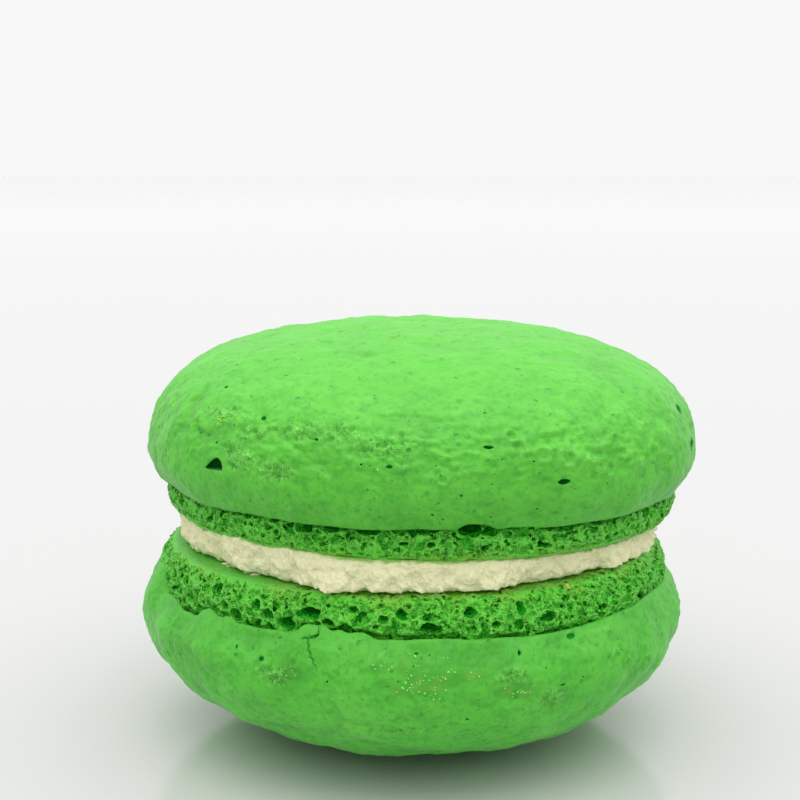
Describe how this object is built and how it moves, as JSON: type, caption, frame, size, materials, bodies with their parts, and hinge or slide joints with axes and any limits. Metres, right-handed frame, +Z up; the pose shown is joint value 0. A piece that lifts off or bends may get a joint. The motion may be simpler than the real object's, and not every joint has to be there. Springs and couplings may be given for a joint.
{
  "type": "french macaron",
  "caption": "Round sandwich biscuit of two domed meringue shells with crumbly feet, held together by a thin layer of pale buttercream.",
  "frame": {"origin": "middle of the flat spot under the lower shell, on the surface that the biscuit stands on", "axes": "+Z up through both domes, -Y towards the front that shows the torn foot, +X to the right"},
  "size_m": [0.0457, 0.0463, 0.0334],
  "materials": {
    "crust": "matte baked meringue crust",
    "foot": "matte open sponge",
    "buttercream": "dull torn buttercream"
  },
  "bodies": {
    "root": {"lower_shell": "crust", "filling": "buttercream", "upper_shell": "crust"}
  },
  "joints": []
}
